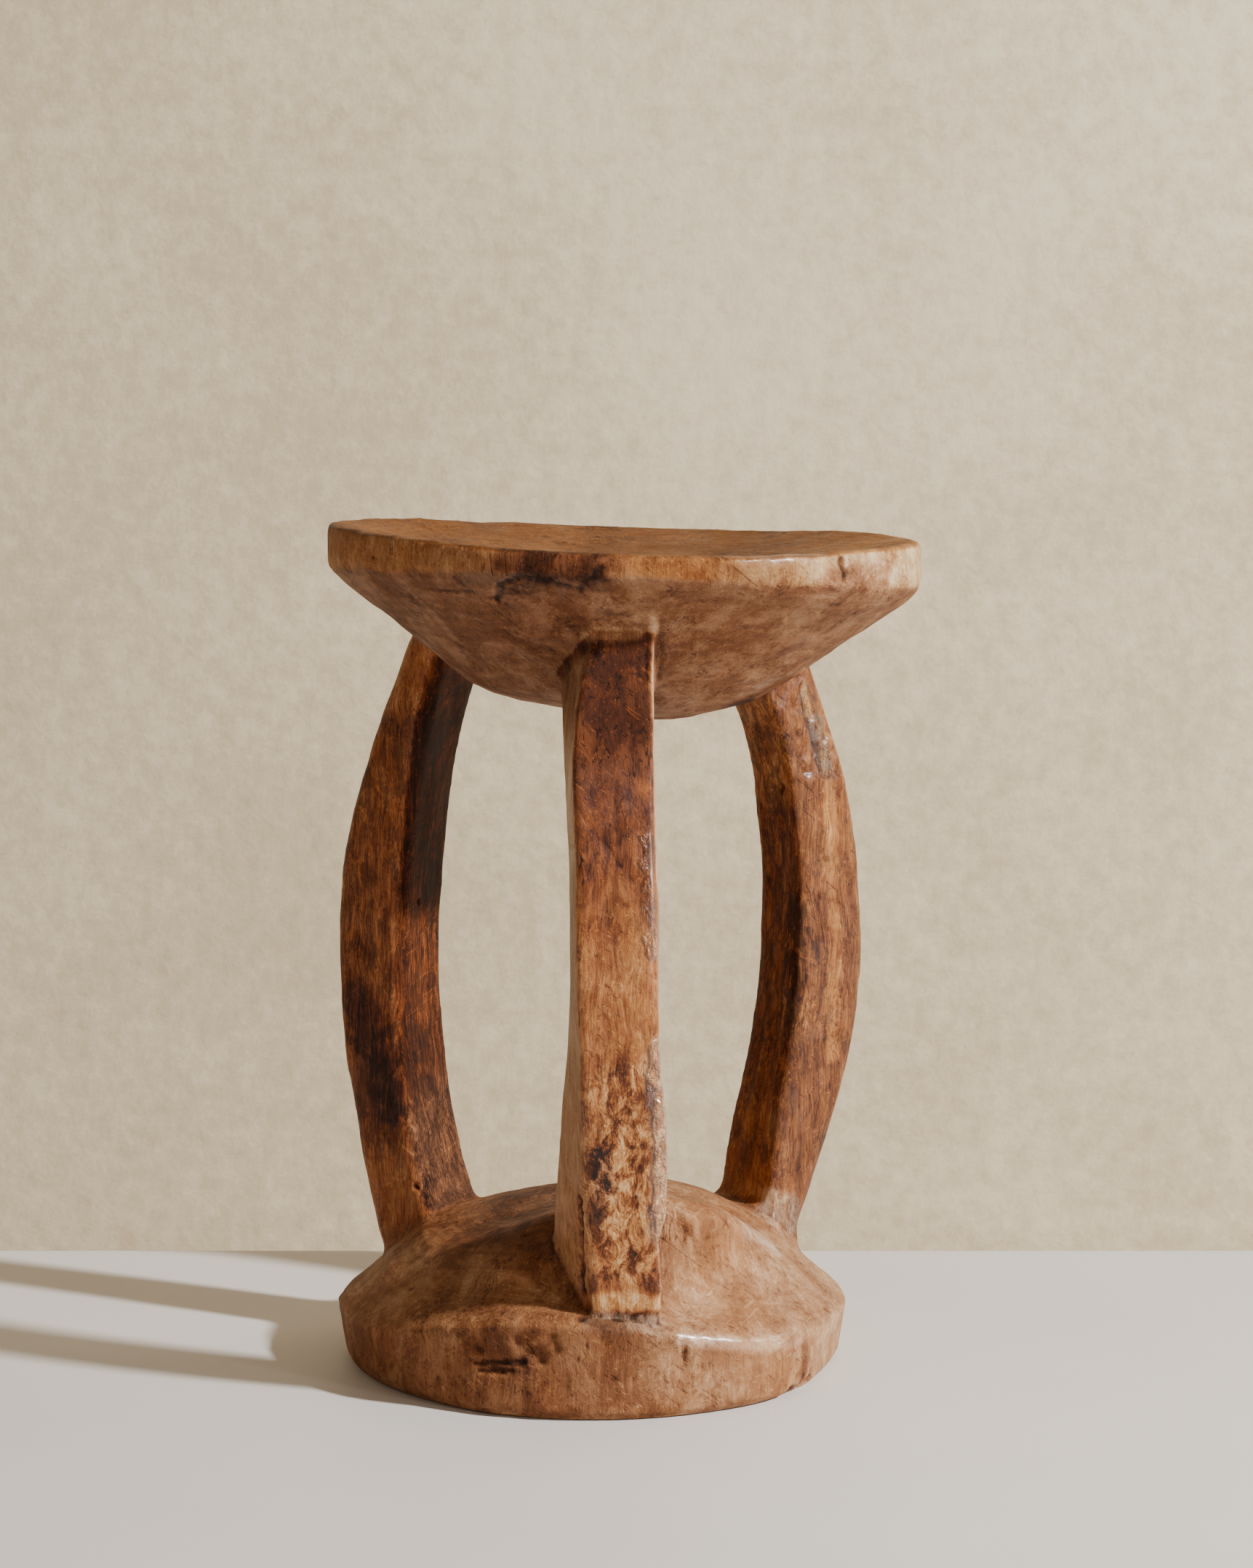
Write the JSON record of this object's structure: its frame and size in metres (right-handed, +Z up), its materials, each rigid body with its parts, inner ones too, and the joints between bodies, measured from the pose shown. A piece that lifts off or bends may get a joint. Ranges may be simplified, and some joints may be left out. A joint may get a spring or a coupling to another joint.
{
  "type": "carved wooden stool",
  "caption": "Low round stool carved from one log, with a dished seat, bowed legs and a domed round base.",
  "frame": {"origin": "on the floor, under the middle of the whole stool", "axes": "+Z up through the seat, -Y towards the front leg, +X to the right as seen from the front"},
  "size_m": [0.2464, 0.2444, 0.3525],
  "materials": {
    "seat_wood": "hand-carved hardwood, worn smooth and half glossy from use, light tan on the rim's edge",
    "leg_wood": "hand-carved hardwood, reddish brown with dark stains, grain upright, handled to a low gloss",
    "base_wood": "hand-carved hardwood, dull tan brown with chisel marks, small cracks and chipped edges"
  },
  "bodies": {
    "root": {"seat": "seat_wood", "front_leg": "leg_wood", "left_leg": "leg_wood", "right_leg": "leg_wood", "base": "base_wood"}
  },
  "joints": []
}
